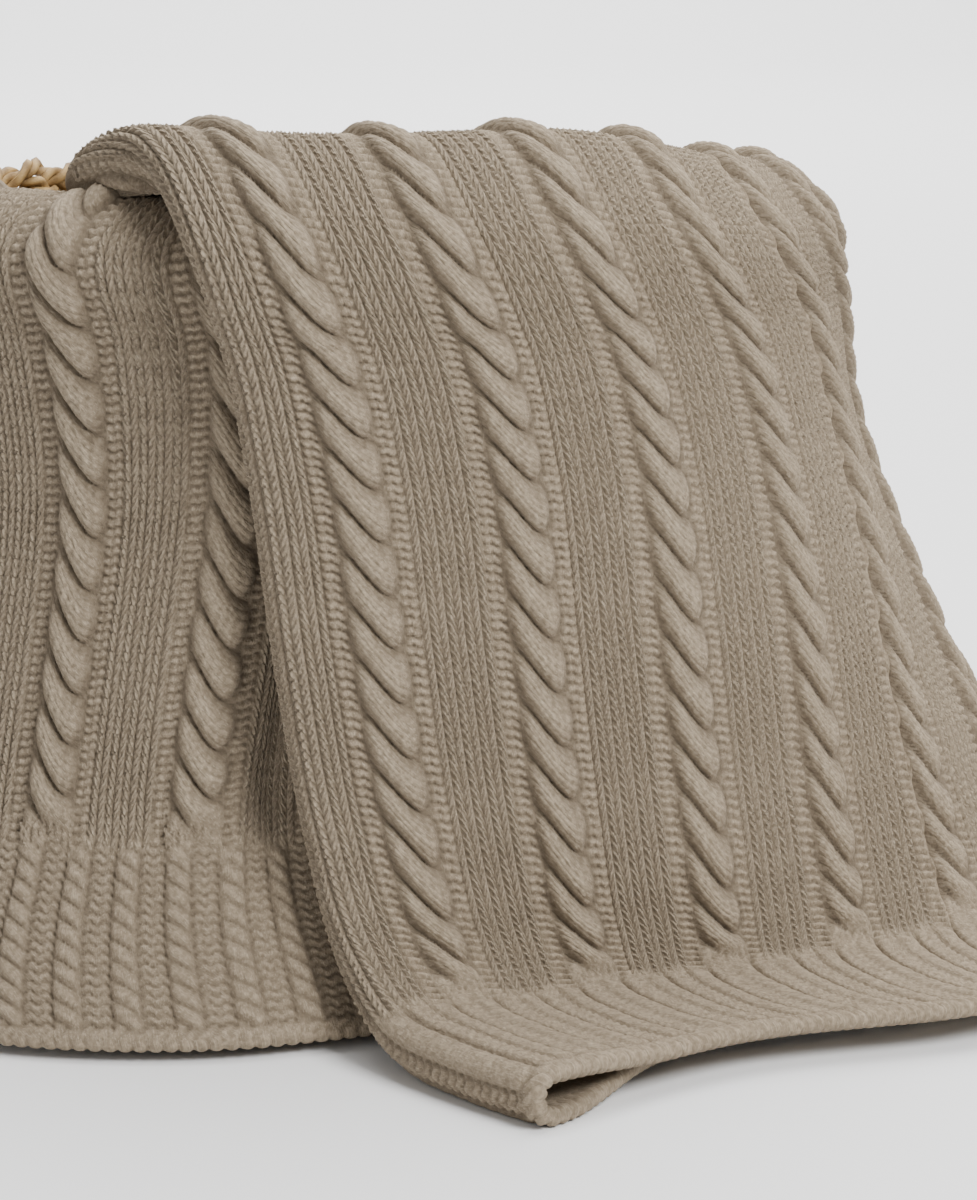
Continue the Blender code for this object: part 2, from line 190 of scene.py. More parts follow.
# Where the real cloth bends off its plain sweep: sizes given
PULLS = (
    # the fold leans out to the left where it comes over the rim
    Pull((0.0, 0.978), (0.042, 0.030), (-0.026, 0.0, -0.003)),
    # a trough down the left end, beside the right end
    Pull((0.372, 0.150), (0.016, 0.095), (0.0, 0.0085, 0.0)),
    Pull((0.330, 0.200), (0.020, 0.110), (0.0, -0.0030, 0.0)),
    # soft swells on the right end
    Pull((0.440, 1.180), (0.085, 0.095), (-0.0200, 0.0, 0.0)),
    Pull((0.470, 1.010), (0.050, 0.045), (-0.006, 0.0, -0.009)),
    Pull((0.480, 1.174), (0.060, 0.052), (-0.0180, 0.0, 0.0)),
    Pull((0.330, 1.020), (0.045, 0.030), (0.0, 0.0, 0.0035)),
    Pull((0.160, 1.330), (0.050, 0.035), (0.0, -0.005, 0.003)),
    Pull((0.300, 1.270), (0.030, 0.060), (-0.002, -0.004, 0.0)),
)


class Drape:
    """The blanket's folds: where each point of the flat cloth lies once it is draped."""

    def __init__(self) -> None:
        """Reads the sections into a close grid of the doubled cloth's middle."""
        rows = np.asarray(SECTIONS, float)
        self.across = np.linspace(0.0, COLUMNS[-1], 121)
        self.along = np.linspace(0.0, LENGTH, 199)
        read = spline_weights(rows[:, 0], self.along) @ rows[:, 1:]
        height, far_height, angle = read[:, 0], read[:, 1], np.radians(read[:, 2])
        radius = spline_weights(COLUMNS, self.across) @ read[:, 3:8].T
        far = ease((self.across - SPREAD_TURNS[0]) / (SPREAD_TURNS[1] - SPREAD_TURNS[0]))[:, None]
        spread = read[:, 8] + (read[:, 9] - read[:, 8]) * far
        lean = np.gradient(radius, self.across, axis=0)
        rate = np.sqrt(np.clip(1 - lean**2, 0.2, 1.0)) * spread / radius
        turned = np.zeros_like(rate)
        step = self.across[1] - self.across[0]
        turned[1:] = np.cumsum((rate[1:] + rate[:-1]) / 2, axis=0) * step
        theta = angle + turned
        drop = ease((self.across - DROP_STARTS) / (DROP_ENDS - DROP_STARTS))[:, None]
        z = height + (far_height - height) * drop
        self.middle = np.stack([radius * np.sin(theta), -radius * np.cos(theta), z], axis=-1)
        for pull in PULLS:
            self.middle += pull.share(self.across, self.along)[..., None] * np.asarray(pull.move)

    def _read(self, across: np.ndarray, along: np.ndarray) -> np.ndarray:
        """The middle's grid read through weights across and along."""
        count = self.middle.shape[0]
        rows = (across @ self.middle.reshape(count, -1)).reshape(len(across), -1, 3)
        return np.einsum("jb,ibk->ijk", along, rows, optimize=True)

    def place(self, width: np.ndarray, along: np.ndarray) -> tuple[np.ndarray, np.ndarray]:
        """Draped places of a grid on the flat cloth.

        Args:
            width: Places across, 0 at the fold, the upper half positive.
            along: Places along, from the left hem.

        Returns:
            The points of the cloth's middle, and the directions out of its face.
        """
        quarter = FOLD_R * math.pi / 2
        reach = np.abs(width)
        bend = np.clip(reach / FOLD_R, 0, math.pi / 2)
        across = np.where(reach < quarter, FOLD_R * (1 - np.cos(bend)), FOLD_R + reach - quarter)
        settled = LAYER_REST + (FOLD_R - LAYER_REST) * (1 - ease((across - FOLD_R) / FOLD_FADE))
        half = np.sign(width) * np.where(reach < quarter, FOLD_R * np.sin(bend), settled)
        here, lean = spline_weights(self.across, across), spline_weights(self.across, across, True)
        there, run = spline_weights(self.along, along), spline_weights(self.along, along, True)
        normal = np.cross(self._read(lean, there), self._read(here, run))
        runs = self._read(here, run)
        normal /= -np.linalg.norm(normal, axis=-1, keepdims=True)
        point = self._read(here, there) + normal * half[:, None, None]
        short = ease((-width - 0.015) / 0.13)[:, None] * ease((along - 1.38) / 0.10)[None, :]
        point -= runs * (short * HEM_SHORT)[..., None]
        outward = np.cross(np.gradient(point, along, axis=1), np.gradient(point, width, axis=0))
        outward /= np.linalg.norm(outward, axis=-1, keepdims=True)
        return point, outward


@dataclass(frozen=True)
class Knitting:
    """The stitch pattern: how far the face stands out at each place of the flat cloth."""

    panel_floor: float = -0.0009
    panel_rise: float = 0.0026
    gutter_floor: float = -0.0013
    bar_rise: float = 0.0028
    cable_rise: float = 0.0076
    rib_rise: float = 0.0036
    rib_knit: float = 0.47
    right_hem: float = 1.30
    right_fade: float = 0.10
    # sideways strays of the left end's columns: place along, distance
    strays: tuple[tuple[float, float], ...] = (
        (0.000, -0.0030), (0.040, 0.0015), (0.080, 0.0070), (0.150, 0.0074), (0.240, 0.0066),
        (0.310, 0.0030), (0.350, 0.0), (0.600, 0.0), (LENGTH, 0.0),
    )
    # how far the rows slide where the sweep over the rim is long: place along, distance
    slides: tuple[tuple[float, float], ...] = (
        (0.000, 0.0), (0.740, 0.0), (0.900, 0.030), (0.973, 0.031), (1.011, 0.017), (1.050, 0.004),
        (1.080, 0.0), (LENGTH, 0.0),
    )
    hem_fan: float = 0.10
    fan_middle: float = 0.320
    fan_starts: float = 0.106
    fan_ends: float = 0.088

    def columns(self, place: np.ndarray, rows: np.ndarray, leg: float, lean: float) -> np.ndarray:
        """Stocking-stitch legs, from 0 in the grooves to 1, in pairs that lean together.

        Args:
            place: Places across, from the first leg.
            rows: Places along, in rows.
            leg: How wide one leg is.
            lean: How many rows a leg rises by across its width.

        Returns:
            How high each place stands.
        """
        place = place + LEG_SWAY * np.sin(2 * math.pi * rows)
        q = np.mod(place / leg, 1.0)
        side = np.where(np.mod(np.floor(place / leg), 2) == 0, 1.0, -1.0)
        wave = 0.5 + 0.5 * np.cos(2 * math.pi * (rows + side * lean * (q - 0.5)))
        column = np.sin(math.pi * q) ** 0.7
        near = 0.5 + side * (q - 0.5)
        column = column + (1 - column) * (PAIR_FILL * (1 - near) ** 2 + 0.12 * wave * near**2)
        return column * (0.22 + 0.78 * wave**0.62)

    def bars(self, share: np.ndarray, rows: np.ndarray, lean: float) -> np.ndarray:
        """Purl bumps, from 0 in the gaps to 1: a slanted bar of two lobes to each row.

        Args:
            share: Places across the gutter, from 0 to 1.
            rows: Places along, in rows.
            lean: How many rows a bar falls by across the gutter.

        Returns:
            How high each place stands.
        """
        bow = 0.10 * np.cos(4 * math.pi * share)
        wave = 0.5 + 0.5 * np.cos(2 * math.pi * (rows - lean * (share - 0.5) + bow))
        lobes = 1 - 0.45 * np.exp(-(((share - 0.5) / 0.10) ** 2))
        return wave**0.75 * lobes * np.sin(math.pi * np.clip(share, 0, 1)) ** 0.4

    def cable(self, x: np.ndarray, from_hem: np.ndarray, detail: float) -> np.ndarray:
        """A rope of strands that cross over each other, x from -1 at its left edge to 1.

        Each strand comes up from behind at the left, crosses over and dives behind at the right,
        so it stands highest near its lower side at the left and near its upper side at the right.

        Args:
            x: Places across the cable.
            from_hem: Places along, from the nearer hem.
            detail: 1 with single stitches, 0 with strands alone.

        Returns:
            Heights over the plain cloth.
        """
        u = np.clip((x + 1) / 2, 0, 1)
        drop = STRAND_DROP * (np.sin(math.pi * u / 2) ** STRAND_BEND - STRAND_START)
        drop = drop - 0.07 * ease((u - 0.70) / 0.30)
        tau = np.mod((from_hem - FIRST_CROSSING) / CROSSING_PITCH + drop, 1.0)
        skew = math.log(0.5) / np.log(0.34 + 0.13 * u)
        body = np.clip(np.sin(math.pi * tau**skew), 0, 1) ** 0.46
        right = 0.74 + 0.39 * np.sin(math.pi * tau**1.05) ** 0.5
        left = 0.78 + 0.30 * np.sin(math.pi * tau**0.85) ** 0.65
        edge = np.sqrt(np.clip(1 - (np.abs(x) / np.where(x > 0, right, left)) ** 2.7, 0, 1))
        track = np.abs(np.sin(TRACKS * math.pi * tau)) ** 0.6
        stitch = np.cos(2 * math.pi * (u * 5.5 + np.mod(np.floor(tau * 6), 2) * 0.5 + tau * 3))
        fine = detail * (0.00060 * (track - 0.7) + 0.00040 * stitch) * edge * body
        return self.gutter_floor + (self.cable_rise * (0.10 + 0.90 * body) * edge) + fine

    def hem(
        self,
        width: np.ndarray,
        along: np.ndarray,
        from_hem: np.ndarray,
        rows: np.ndarray,
        detail: float,
    ) -> np.ndarray:
        """Ribbing: mini-cables of two stitches with purl valleys between, and the cast-on chain.

        Args:
            width: Places across the flat cloth.
            along: Places along it.
            from_hem: Places along it, from the nearer hem.
            rows: Places along it, in rows.
            detail: 1 with single stitches, 0 with ribs alone.

        Returns:
            Heights over the plain cloth.
        """
        right = ease((along - self.right_hem) / self.right_fade)
        rib = REPEAT / RIBS_PER_REPEAT
        share = np.mod((width - FIRST_PANEL - 0.004) / rib, 1.0)
        knit = self.rib_knit
        facing = np.where(width >= 0, 1.0, -1.0)
        x = np.where(facing > 0, share / knit, 1 - share / knit)
        u = np.clip(x, 0, 1)
        lobe = np.mod((rows * np.where(along > LENGTH / 2, -1.0, 1.0)) / 2 + 0.75 * u**1.2, 1.0)
        round_ = np.sqrt(np.clip(1 - np.abs(2 * x - 1) ** 2.6, 0, 1))
        lobed = np.sin(math.pi * lobe**0.8) ** 0.7
        lobed = lobed + (0.85 - lobed) * 0.75 * right
        rope = (0.18 + 0.82 * lobed) * round_
        inside = np.clip((share - knit) / (1 - knit), 0, 1)
        wave = 0.5 + 0.5 * np.cos(2 * math.pi * (rows + 0.20 * np.cos(4 * math.pi * inside)))
        purl = wave**0.7 * np.sin(math.pi * inside) ** 0.3
        valley = -0.0012 + 0.0022 * (0.45 + (purl - 0.45) * detail)
        flat = 0.0014 + 0.0008 * (wave - 0.5) * detail - 0.0052 * np.exp(-((inside / 0.14) ** 2))
        valley = valley + (flat - valley) * 0.85 * right * ease((width - 0.006) / 0.008)
        ribbing = np.where(share < knit, self.rib_rise * rope - 0.0006, valley)
        chain = -0.0006 + 0.0026 * np.sqrt(np.clip(1 - ((from_hem - 0.0018) / 0.0040) ** 2, 0, 1))
        dash = 0.5 + 0.5 * np.cos(2 * math.pi * (width / 0.0053 + from_hem / 0.005))
        chain = chain - 0.0012 * dash**2.5
        return ribbing + (chain - ribbing) * ease((0.0066 - from_hem) / 0.0022)

    def wales(self, width: np.ndarray, along: np.ndarray) -> np.ndarray:
        """Where the stitch columns run: they stray across the cloth where it is pulled.

        Args:
            width: Places across the flat cloth.
            along: Places along it.

        Returns:
            The grid of places across, counted in stitch columns.
        """
        knots, strays = zip(*self.strays)
        pull = spline_weights(knots, along) @ strays
        fan = self.hem_fan * (1 - ease((along - 0.01) / 0.075))
        middle = width[:, None] + self.fan_middle
        under = np.where(width < 0, 1.0, 0.0)[:, None]
        return width[:, None] + under * (pull[None, :] - middle * fan[None, :])

    def courses(self, along: np.ndarray) -> np.ndarray:
        """Where the stitch rows run: places along the cloth, counted in rows."""
        knots, slides = zip(*self.slides)
        return along - spline_weights(knots, along) @ slides

    def height(self, wide: np.ndarray, along: np.ndarray, detail: float) -> np.ndarray:
        """Height of the face over the plain cloth.

        Args:
            wide: The grid of places across, counted in stitch columns.
            along: Places along it, counted in rows.
            detail: 1 with single stitches, 0 with cables and ribs alone.

        Returns:
            The grid of heights in metres.
        """
        here = along[None, :]
        from_hem = np.minimum(here, LENGTH - here)
        rows = here / ROW + 0 * wide
        place = np.mod(wide - FIRST_PANEL, REPEAT)
        facing = np.where(wide >= 0, 1.0, -1.0)
        x = (place - PANEL - GUTTER - CABLE / 2) / (CABLE / 2) * facing
        legs = self.columns(place, rows, LEG, LEG_LEAN)
        panel = self.panel_floor + self.panel_rise * (0.55 + (legs - 0.55) * detail)
        share = np.where(x > 0, (x - 1) * CABLE / 2 / GUTTER, 1 - (-x - 1) * CABLE / 2 / GUTTER)
        bars = self.bars(share, rows, BAR_LEAN)
        gutter = self.gutter_floor + self.bar_rise * (0.4 + (bars - 0.4) * detail)
        body = np.where(np.abs(x) < 1.8, gutter, panel)
        fan = ease((from_hem - self.fan_ends) / (self.fan_starts - self.fan_ends))
        plain = self.columns(x * CABLE / 2 + CABLE / 2, rows, CABLE / 6, LEG_LEAN)
        plain = 0.0004 + self.panel_rise * (0.55 + (plain - 0.55) * detail)
        cable = self.cable(x, from_hem, detail)
        cable = plain + (np.maximum(cable, plain * (1 - fan)) - plain) * fan
        over = np.where(np.abs(x) < 1.0, self.gutter_floor, body)
        body = np.where(np.abs(x) < 1.14, np.maximum(cable, over), body)
        ribs = self.hem(wide, here, from_hem, rows, detail)
        border = HEM + 0.0030 * np.cos(2 * math.pi * wide / (REPEAT / RIBS_PER_REPEAT))
        return body + (ribs - body) * ease((border + 0.007 - from_hem) / 0.014)


class Edge(Enum):
    """What a patch of knitting does at one of its four sides."""

    OPEN = "joins the next patch"
    TUCK = "dips under the cloth"
    ROLL = "rounds the cloth's own edge"


@dataclass(frozen=True)
class Patch:
    """One close-meshed part of the blanket's face.

    Args:
        name: The piece's name.
        width: Where it starts and ends across the flat cloth.
        along: Where it starts and ends along it.
        step: Mesh lines to a stitch leg across, and the size of its mesh along.
        edges: What it does at its low and high side across, then at its low and high end along.
        detail: 1 with single stitches in its mesh, 0 with cables and ribs alone.
    """

    name: str
    width: tuple[float, float]
    along: tuple[float, float]
    step: tuple[float, float]
    edges: tuple[Edge, Edge, Edge, Edge]
    detail: float = 1.0


def stitch_lines(low: float, high: float, per_leg: float) -> np.ndarray:
    """Mesh lines across the cloth that fall in step with the stitch columns.

    Args:
        low: Where they start.
        high: Where they end, snapped to the nearest line where the cloth goes on.
        per_leg: Lines to one stitch leg.

    Returns:
        The places of the lines, rising.
    """
    inside, place = [], 0.0
    for part in (PANEL, GUTTER, CABLE, GUTTER):
        count = round(part / LEG * per_leg)
        inside += (place + part * np.arange(count) / count).tolist()
        place += part
    repeats = np.arange(-9, 10)[:, None] * REPEAT + FIRST_PANEL
    lines = (repeats + np.asarray(inside)[None, :]).ravel()
    lines = lines[(lines > low + 0.0002) & (lines < high - 0.0002)]
    return np.concatenate([[low], lines, [high]])


def make_mesh(name: str, points: np.ndarray, quads: np.ndarray) -> bpy.types.Object:
    """A smooth-shaded object of quads and triangles.

    Args:
        name: Its name.
        points: Its points, one a row.
        quads: Its faces, four point numbers a row.

    Returns:
        The object, linked to the scene.
    """
    mesh = bpy.data.meshes.new(name)
    mesh.vertices.add(len(points))
    mesh.vertices.foreach_set("co", np.ascontiguousarray(points, np.float32).ravel())
    mesh.loops.add(quads.size)
    mesh.loops.foreach_set("vertex_index", np.ascontiguousarray(quads, np.int32).ravel())
    mesh.polygons.add(len(quads))
    mesh.polygons.foreach_set("loop_start", np.arange(len(quads), dtype=np.int32) * quads.shape[1])
    mesh.update(calc_edges=True)
    mesh.validate()
    mesh.shade_smooth()
    made = bpy.data.objects.new(name, mesh)
    bpy.context.scene.collection.objects.link(made)
    return made


def grid_quads(rows: int, cols: int, start: int = 0) -> np.ndarray:
    """Quads of a grid of points numbered row by row."""
    number = start + np.arange(rows * cols).reshape(rows, cols)
    quads = np.stack([number[:-1, :-1], number[:-1, 1:], number[1:, 1:], number[1:, :-1]], axis=-1)
    return quads.reshape(-1, 4)


def write_uv(made: bpy.types.Object, places: np.ndarray) -> None:
    """Gives each face corner the flat cloth's place of its point, in metres."""
    mesh = made.data
    index = np.empty(len(mesh.loops), np.int32)
    mesh.loops.foreach_get("vertex_index", index)
    layer = mesh.uv_layers.new(name="flat")
    layer.data.foreach_set("uv", np.ascontiguousarray(places[index], np.float32).ravel())


def write_value(made: bpy.types.Object, name: str, values: np.ndarray) -> None:
    """Stores one number for each point."""
    layer = made.data.attributes.new(name, "FLOAT", "POINT")
    layer.data.foreach_set("value", np.ascontiguousarray(values, np.float32).ravel())


class Maths:
    """One value in a node tree: an expression on it adds the Math nodes that work it out."""

    def __init__(self, tree: "Finish", socket: bpy.types.NodeSocket) -> None:
        """Wraps an output socket."""
        self.tree = tree
        self.socket = socket

    def _with(self, operation: str, *others: "Maths | float") -> "Maths":
        """A Math node of this value and others."""
        values = {i: o.socket if isinstance(o, Maths) else o for i, o in enumerate((self, *others))}
        node = self.tree.node("ShaderNodeMath", {"operation": operation}, values)
        return Maths(self.tree, node.outputs[0])

    def _after(self, operation: str, first: float) -> "Maths":
        """A Math node of a plain number and this value."""
        values = {0: first, 1: self.socket}
        node = self.tree.node("ShaderNodeMath", {"operation": operation}, values)
        return Maths(self.tree, node.outputs[0])

    def __add__(self, other: "Maths | float") -> "Maths":
        """Their sum."""
        return self._with("ADD", other)

    __radd__ = __add__

    def __sub__(self, other: "Maths | float") -> "Maths":
        """Their difference."""
        return self._with("SUBTRACT", other)

    def __rsub__(self, other: float) -> "Maths":
        """A number less this value."""
        return self._after("SUBTRACT", other)

    def __mul__(self, other: "Maths | float") -> "Maths":
        """Their product."""
        return self._with("MULTIPLY", other)

    __rmul__ = __mul__

    def __truediv__(self, other: "Maths | float") -> "Maths":
        """Their quotient."""
        return self._with("DIVIDE", other)

    def __pow__(self, other: float) -> "Maths":
        """This value to a power."""
        return self._with("POWER", other)

    def wrap(self, top: float) -> "Maths":
        """What is left over by whole steps of top, never below 0."""
        return self._with("FLOORED_MODULO", top)

    def sine(self) -> "Maths":
        """Its sine."""
        return self._with("SINE")

    def size(self) -> "Maths":
        """Its size without its sign."""
        return self._with("ABSOLUTE")

    def above(self, level: "Maths | float") -> "Maths":
        """1 where it is over a level, else 0."""
        return self._with("GREATER_THAN", level)

    def clamp(self) -> "Maths":
        """It, held between 0 and 1."""
        return self._with("MAXIMUM", 0.0)._with("MINIMUM", 1.0)

    def least(self, other: "Maths | float") -> "Maths":
        """The lower of the two."""
        return self._with("MINIMUM", other)


class Finish:
    """A material in the making: adds its nodes and links them to its Principled shader."""

    def __init__(self, name: str) -> None:
        """Starts an empty material with its shader and output."""
        self.material = bpy.data.materials.new(name)
        self.material.use_nodes = True
        self.nodes = self.material.node_tree.nodes
        self.links = self.material.node_tree.links
        self.shader = self.nodes["Principled BSDF"]

    def node(
        self, kind: str, settings: dict | None = None, values: dict | None = None
    ) -> bpy.types.Node:
        """Adds one node.

        Args:
            kind: Its type.
            settings: Its own settings, by name.
            values: Numbers, colours or output sockets for its inputs, by name or number.

        Returns:
            The node.
        """
        made = self.nodes.new(kind)
        for key, value in (settings or {}).items():
            setattr(made, key, value)
        for key, value in (values or {}).items():
            self.feed(made.inputs[key], value)
        return made

    def feed(self, socket: bpy.types.NodeSocket, value: object) -> None:
        """Links a socket, or sets its plain value."""
        if isinstance(value, Maths):
            value = value.socket
        if isinstance(value, bpy.types.NodeSocket):
            self.links.new(value, socket)
        else:
            socket.default_value = value

    def value(self, socket: bpy.types.NodeSocket) -> Maths:
        """A socket as a value to reckon with."""
        return Maths(self, socket)

    def attribute(self, name: str) -> Maths:
        """A number stored on the piece's points."""
        return self.value(self.node("ShaderNodeAttribute", {"attribute_name": name}).outputs["Fac"])

    def noise(self, place: object, scale: float, detail: float = 2.0, rough: float = 0.5) -> Maths:
        """Soft noise from 0 to 1 at a place.

        Args:
            place: The place that it is read at.
            scale: How fine it is.
            detail: How many finer layers it has.
            rough: How strong those are.

        Returns:
            The noise.
        """
        values = {"Vector": place, "Scale": scale, "Detail": detail, "Roughness": rough}
        return self.value(self.node("ShaderNodeTexNoise", None, values).outputs[0])

    def mix(self, share: Maths | float, low: object, high: object) -> bpy.types.NodeSocket:
        """A blend of two colours.

        Args:
            share: How much of the second one it has.
            low: The first colour.
            high: The second colour.

        Returns:
            The blend.
        """
        made = self.node("ShaderNodeMix", {"data_type": "RGBA"})
        self.feed(made.inputs[0], share)
        self.feed(made.inputs[6], low)
        self.feed(made.inputs[7], high)
        return made.outputs[2]

    def bump(self, height: Maths, distance: float, strength: float = 1.0) -> None:
        """Raises the surface by a height, through the shader's normal.

        Args:
            height: The height, 0 to about 1.
            distance: How far a height of 1 stands out.
            strength: How much of it is felt.
        """
        values = {"Height": height, "Distance": distance, "Strength": strength}
        made = self.node("ShaderNodeBump", None, values)
        self.links.new(made.outputs[0], self.shader.inputs["Normal"])

    def plain(self, **values: object) -> None:
        """Sets the shader's own sockets to plain values."""
        for name, value in values.items():
            label = name.replace("_", " ").title().replace("Ior", "IOR")
            self.shader.inputs[label].default_value = value


@dataclass(frozen=True)
class WoolFinish:
    """Oatmeal wool: heathered yarn with fine hairs, and painted shade down in the stitches and on
    the hems.

    Args:
        lit: The yarn's colour where it faces the light.
        deep: The colour of the painted shade down between stitches and on the hems.
        fleck: The colour of its darker fibres.
        pale: The colour of its lightest fibres.
        cables_from: How far from a hem the cables start.
        hair_scale: How fine the loose hairs are.
        hair_stretch: How much longer than wide they are, upwards.
        fibre_scale: How fine the fibres along the yarn are.
        heather_scale: How fine the yarn's colours change.
        broad_scale: How broad the cloth's own shades are.
        hem_shade: How much the hems are darkened by painted shade.
        groove_shade: How dark the painted shade in the grooves between stitches is.
        bump_depth: How far the finest relief stands out.
        bump_strength: How much of it is felt.
    """

    lit: tuple[float, float, float, float] = (0.416, 0.338, 0.243, 1.0)
    # deep is the painted shade's colour
    deep: tuple[float, float, float, float] = (0.070, 0.052, 0.035, 1.0)
    fleck: tuple[float, float, float, float] = (0.235, 0.186, 0.130, 1.0)
    pale: tuple[float, float, float, float] = (0.580, 0.495, 0.380, 1.0)
    cables_from: float = 0.100
    hair_scale: float = 1500.0
    hair_stretch: float = 0.45
    fibre_scale: float = 1900.0
    heather_scale: float = 420.0
    broad_scale: float = 14.0
    hem_shade: float = 0.15
    groove_shade: float = 0.86
    bump_depth: float = 0.0011
    bump_strength: float = 0.85

    def _legs(self, wide: Maths, run: Maths, from_hem: Maths) -> tuple[Maths, Maths]:
        """The stocking-stitch legs of the panels.

        Args:
            wide: Places across the flat cloth.
            run: Places along it.
            from_hem: Places along it, from the nearer hem.

        Returns:
            How high the legs stand, and how much of a panel each place is.
        """
        place = (wide - FIRST_PANEL).wrap(REPEAT)
        place = place + (run * (2 * math.pi / ROW)).sine() * LEG_SWAY
        leg = (place / LEG).wrap(1.0)
        side = 1.0 - 2.0 * (place / (2 * LEG)).wrap(1.0).above(0.5)
        lean = side * LEG_LEAN * (leg - 0.5)
        wave = 0.5 + 0.5 * ((run / ROW + lean + 0.25) * (2 * math.pi)).sine()
        column = (leg * math.pi).sine()
        near = 0.5 + side * (leg - 0.5)
        column = column + (1.0 - column) * (1.0 - near) * PAIR_FILL
        on_panel = (1.0 - place.above(PANEL)) * ((from_hem - HEM + 0.003) * 110.0).clamp()
        return column * (0.30 + 0.70 * wave), on_panel

    def _strands(self, wide: Maths, straight: Maths, from_hem: Maths) -> Maths:
        """The tracks of legs on the cables' strands.

        Args:
            wide: Places across the flat cloth.
            straight: Places across one repeat.
            from_hem: Places along the cloth, from the nearer hem.

        Returns:
            How high the tracks stand.
        """
        side = (straight - (PANEL + GUTTER)) / CABLE
        left_hand = wide.above(0.0)
        share = (side * left_hand + (1.0 - side) * (1.0 - left_hand)).clamp()
        drop = (share * (math.pi / 2)).sine() ** STRAND_BEND * STRAND_DROP
        turns = (from_hem - FIRST_CROSSING) / CROSSING_PITCH + drop - STRAND_START * STRAND_DROP
        track = (turns * (TRACKS * math.pi)).sine().size()
        legs = 0.5 + 0.5 * (share * 34.0 + turns * 19.0).sine()
        return track * 0.75 + legs * track * 0.35

    def build(self, name: str) -> bpy.types.Material:
        """Makes the material.

        Args:
            name: Its name.

        Returns:
            The material.
        """
        made = Finish(name)
        flat = made.node("ShaderNodeUVMap", {"uv_map": "flat"})
        place = made.node("ShaderNodeTexCoord").outputs["Object"]
        split = made.node("ShaderNodeSeparateXYZ", None, {0: flat.outputs[0]})
        wide, run = made.value(split.outputs[0]), made.value(split.outputs[1])
        upright = {0: place, "Scale": (1.0, 1.0, self.hair_stretch)}
        stretched = made.node("ShaderNodeMapping", {"vector_type": "POINT"}, upright)
        hairs = made.noise(stretched.outputs[0], self.hair_scale, 3.0, 0.65)
        heather = made.noise(place, self.heather_scale, 3.0, 0.6)
        broad = made.noise(place, self.broad_scale, 2.0, 0.5)
        # low: how far down in the knitting each point lies, the mask of the painted shade
        low = made.attribute("low")

        straight = (wide - FIRST_PANEL).wrap(REPEAT)
        on_cable = straight.above(PANEL + GUTTER)
        on_cable = on_cable * (1.0 - straight.above(PANEL + GUTTER + CABLE))
        slant = math.atan2(CABLE, CROSSING_PITCH)
        cos, sin = math.cos(slant), math.sin(slant)
        across = wide + on_cable * (wide * (cos - 1) - run * sin)
        down = run + on_cable * (wide * sin + run * (cos - 1))
        places = {0: across, 1: down * 0.20, 2: low * 0.002}
        joined = made.node("ShaderNodeCombineXYZ", None, places)
        fibre = made.noise(joined.outputs[0], self.fibre_scale, 2.0, 0.55)

        from_hem = run.least(LENGTH - run)
        stitch, on_panel = self._legs(wide, run, from_hem)
        strand = self._strands(wide, straight, from_hem)
        on_cable = on_cable * (from_hem - self.cables_from).above(0.0)
        # groove is painted shade: darker down in creases, between the panels' legs and between the
        # strands' tracks
        groove = (low * 0.80 + on_panel * ((0.40 - stitch) * 1.8).clamp() * 0.42).clamp()
        groove = (groove + on_cable * (0.50 - strand).clamp() * 0.30).clamp()
        ridge = hairs * 0.45 + fibre * 0.55 + on_panel * stitch * 1.6 + on_cable * strand * 0.45

        tone = made.mix(((heather - 0.38) * 2.6).clamp(), self.fleck, self.lit)
        tone = made.mix(((fibre - 0.53) * 4.0).clamp() * 0.55, tone, self.pale)
        tone = made.mix(((0.44 - fibre) * 4.0).clamp() * 0.45, tone, self.fleck)
        tone = made.mix((broad - 0.35).clamp() * 0.22, tone, self.fleck)
        # painted shade over the ribbed hems
        on_hem = ((HEM + 0.004 - from_hem) * 90.0).clamp()
        tone = made.mix(on_hem * self.hem_shade, tone, self.deep)
        # painted shade down in the grooves
        tone = made.mix(groove * self.groove_shade, tone, self.deep)
        made.feed(made.shader.inputs["Base Color"], tone)
        made.bump(ridge, self.bump_depth, self.bump_strength)
        made.plain(
            roughness=0.95,
            sheen_weight=0.15,
            sheen_roughness=0.55,
            sheen_tint=(0.85, 0.72, 0.56, 1.0),
            specular_ior_level=0.12,
        )
        return made.material


@dataclass(frozen=True)
class GrassFinish:
    """Dry twisted grass: straw colour with darker fibres along the strand.

    Args:
        pale: The bright fibres.
        dark: The shaded fibres.
    """

    pale: tuple[float, float, float, float] = (0.500, 0.330, 0.135, 1.0)
    dark: tuple[float, float, float, float] = (0.130, 0.070, 0.024, 1.0)

    def build(self, name: str) -> bpy.types.Material:
        """Makes the material.

        Args:
            name: Its name.

        Returns:
            The material.
        """
        made = Finish(name)
        place = made.node("ShaderNodeTexCoord").outputs["Object"]
        turn = made.attribute("turn")
        run = made.attribute("run")
        fibres = ((turn * 7.0 + run * 520.0) * (2 * math.pi / 6.0)).sine() * 0.5 + 0.5
        spots = made.noise(place, 90.0, 3.0, 0.6)
        fine = made.noise(place, 900.0, 2.0, 0.6)
        tone = made.mix((fibres * 0.55 + fine * 0.5).clamp(), self.dark, self.pale)
        tone = made.mix((spots - 0.45).clamp() * 1.2, tone, self.dark)
        made.feed(made.shader.inputs["Base Color"], tone)
        made.feed(made.shader.inputs["Roughness"], 0.5 + fine * 0.3)
        made.bump(fibres * 0.7 + fine * 0.5, 0.0007, 0.8)
        made.plain(specular_ior_level=0.35)
        return made.material


@dataclass(frozen=True)
class StageFinish:
    """A plain matt backdrop."""

    colour: tuple[float, float, float, float] = (0.88, 0.88, 0.88, 1.0)

    def build(self, name: str) -> bpy.types.Material:
        """Makes the material."""
        made = Finish(name)
        made.plain(base_color=self.colour, roughness=0.9, specular_ior_level=0.1)
        return made.material


